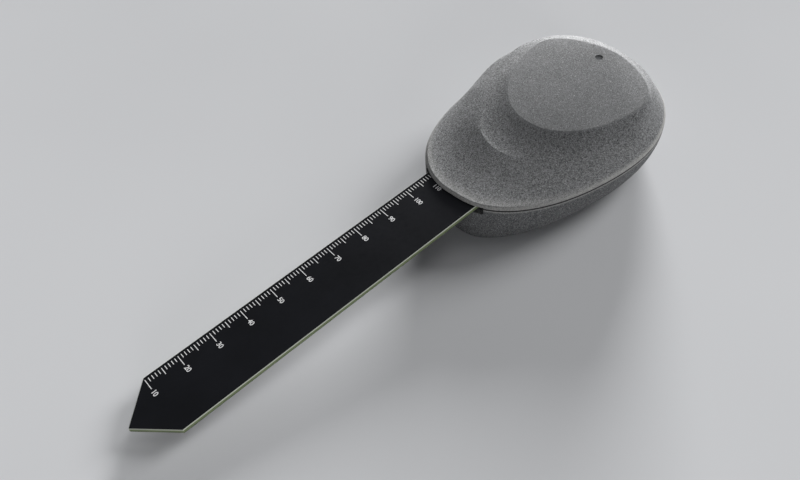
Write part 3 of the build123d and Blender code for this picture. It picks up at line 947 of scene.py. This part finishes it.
def make_screw(name, head, shank, thread):
    """One screw without its recess, its head from 0 upwards."""
    head_radius, head_height = head
    radius, length = shank
    screw = name_piece(make_drum(head_radius, 0, head_height), name)
    round_rim(screw, 0, head_height * HEAD_ROUNDING, HEAD_STEPS)
    round_rim(screw, head_height, HEAD_CHAMFER, steps=1)
    rod = make_thread(radius, head_height - SHANK_OVERLAP, head_height + length, *thread)
    combine(screw, rod, "UNION")
    return screw


def make_screws(pattern, name, places):
    """Copies of a screw at its places, as one piece."""
    screws = join_copies([(pattern, place) for place in places], name)
    smooth(screws, SCREW_ANGLE)
    dress(screws, STEEL)
    return screws


def make_socket_screws():
    """Case screws with a hex socket, their heads down in the underside."""
    screw = make_screw("socket_screw", **CASE_SCREW)
    socket = make_drum(HEX_KEY / 3 ** 0.5, -HEX_DEPTH, HEX_DEPTH, sides=6)
    combine(screw, socket, "DIFFERENCE")
    places = []
    for behind, across in CASE_SCREW_PLACES:
        place = (RIM_FRONT + behind * MM, across * MM, CASE_SCREW_LEVEL * MM)
        places.append(Matrix.Translation(place))
    return make_screws(screw, "socket_screws", places)


def make_cross_screws():
    """Board screws with a cross recess, their heads under the board."""
    screw = make_screw("cross_screw", **BOARD_SCREW)
    length, width, depth = CROSS_ARM
    for turn in (0, 90):
        bpy.ops.object.select_all(action="DESELECT")
        bpy.ops.mesh.primitive_cube_add(size=1, rotation=(0, 0, radians(turn)))
        arm = bpy.context.object
        arm.scale = (length * MM, width * MM, 2 * depth * MM)
        combine(screw, settle(arm), "DIFFERENCE")
    places = []
    for behind, across in BOARD_SCREW_PLACES:
        place = (behind * MM, across * MM, BOARD_SCREW_LEVEL * MM)
        places.append(BOARD @ Matrix.Translation(place))
    return make_screws(screw, "cross_screws", places)


stand_for(make_socket_screws(), "case_screws")
stand_for(make_cross_screws(), "board_screws")


# Finishes of the solids that show as they are

NODE_FINISH = {
    RUBBER: ["case_seal", "blade_seal"],
    BRASS: ["thread_inserts"],
    HOLDER: ["battery_holder"],
    CELL: ["battery_cell_left", "battery_cell_right"],
    SPRING: ["contact_leaf_left", "contact_leaf_right", "contact_bridge"],
    CLEAR: ["light_pipe"],
    SWITCH: ["switch_body", "switch_plunger"],
    SOLDER_MASK: ["radio_board"],
    TIN: ["radio_shield", "timing_crystal"],
    CERAMIC: ["chip_antenna"],
    CHIP: ["microcontroller", "sense_amplifier", "voltage_regulator"],
    CAPACITOR: ["bulk_capacitor"],
    LAMP: ["status_led"],
}
for material, names in NODE_FINISH.items():
    for name in names:
        dress(frame["nodes"][name], material)


# Studio

# Floor: its width in metres and its slow tones a metre
FLOOR_SIZE = 6
FLOOR_TONES = 3.0

# Backdrop: its colour, the light that it gives and how bright it is seen
BACKDROP_COLOUR = (0.94, 0.96, 1.0, 1.0)
BACKDROP_LIGHT = 0.09
BACKDROP_SEEN = 0.55

# Camera fitted to the photograph's view: sensor and lens in millimetres, its right and down
# in the part's frame, and its place in metres
CAMERA_SENSOR = 36
CAMERA_LENS = 35.35
CAMERA_RIGHT = Vector((0.75511, -0.65493, -0.02947))
CAMERA_DOWN = Vector((-0.50684, -0.55467, -0.65989))
CAMERA_PLACE = (-0.15314, -0.11785, 0.17981)


def make_floor():
    """Wide pale sheet under the part."""
    bpy.ops.object.select_all(action="DESELECT")
    bpy.ops.mesh.primitive_plane_add(size=FLOOR_SIZE)
    floor = name_piece(bpy.context.object, "studio_floor")
    material, finish, sockets, place = new_material("floor_sheet", Specular_IOR_Level=0.0)
    tone = use(finish, TONE, Vector=place, Scale=FLOOR_TONES)["Tone"]
    pale = finish.blend(tone, colour(206, 207, 209), colour(214, 215, 217))
    finish.feed(sockets["Base Color"], pale)
    finish.feed(sockets["Roughness"], finish.spread(tone, 0.0, 1.0, 0.85, 0.95))
    dress(floor, material)


def make_lamp(name, height, bearing, spread, share):
    """Soft even light from a height and a bearing from the rear to the left, in degrees.

    Its share is what it adds to the brightness of a white card lying on the floor.
    """
    light = bpy.data.lights.new(name, "SUN")
    light.angle = radians(spread)
    light.energy = pi * share / sin(radians(height))
    lamp = bpy.data.objects.new(name, light)
    bpy.context.collection.objects.link(lamp)
    rising = Vector((cos(radians(height)), 0, sin(radians(height))))
    source = Matrix.Rotation(radians(bearing), 3, "Z") @ rising
    lamp.rotation_euler = (-source).to_track_quat("-Z", "Y").to_euler()
    lamp.location = source


def make_camera():
    """Camera at its fitted place, turned by its fitted axes."""
    camera = bpy.data.cameras.new("camera")
    camera.sensor_width = CAMERA_SENSOR
    camera.lens = CAMERA_LENS
    camera.clip_start = 0.01
    holder = bpy.data.objects.new("camera", camera)
    bpy.context.collection.objects.link(holder)
    up = -CAMERA_DOWN
    turn = Matrix((CAMERA_RIGHT, up, CAMERA_RIGHT.cross(up))).transposed()
    place = Matrix.Translation(CAMERA_PLACE)
    holder.matrix_world = place @ turn.to_4x4()
    bpy.context.scene.camera = holder


def make_world():
    """Faint light from all round; a pale backdrop where it is seen directly, mirrored or through glass."""
    world = bpy.data.worlds.new("studio")
    bpy.context.scene.world = world
    world.use_nodes = True
    finish = Finish(world.node_tree)
    rays = finish.node("ShaderNodeLightPath").outputs
    seen = finish.maths("MAXIMUM", rays["Is Camera Ray"], rays["Is Glossy Ray"])
    seen = finish.maths("MAXIMUM", seen, rays["Is Transmission Ray"])
    backdrop = world.node_tree.nodes["Background"].inputs
    finish.feed(backdrop["Color"], BACKDROP_COLOUR)
    finish.feed(backdrop["Strength"], finish.spread(seen, 0.0, 1.0, BACKDROP_LIGHT, BACKDROP_SEEN))


make_floor()
make_lamp("lamp_key", height=11, bearing=36, spread=18, share=0.38)
make_lamp("lamp_back", height=28, bearing=-7, spread=26, share=0.28)
make_lamp("lamp_over", height=66, bearing=-18, spread=30, share=0.07)
make_lamp("lamp_front", height=13, bearing=245, spread=16, share=0.035)
make_world()
make_camera()
bpy.context.scene.view_settings.view_transform = "Standard"
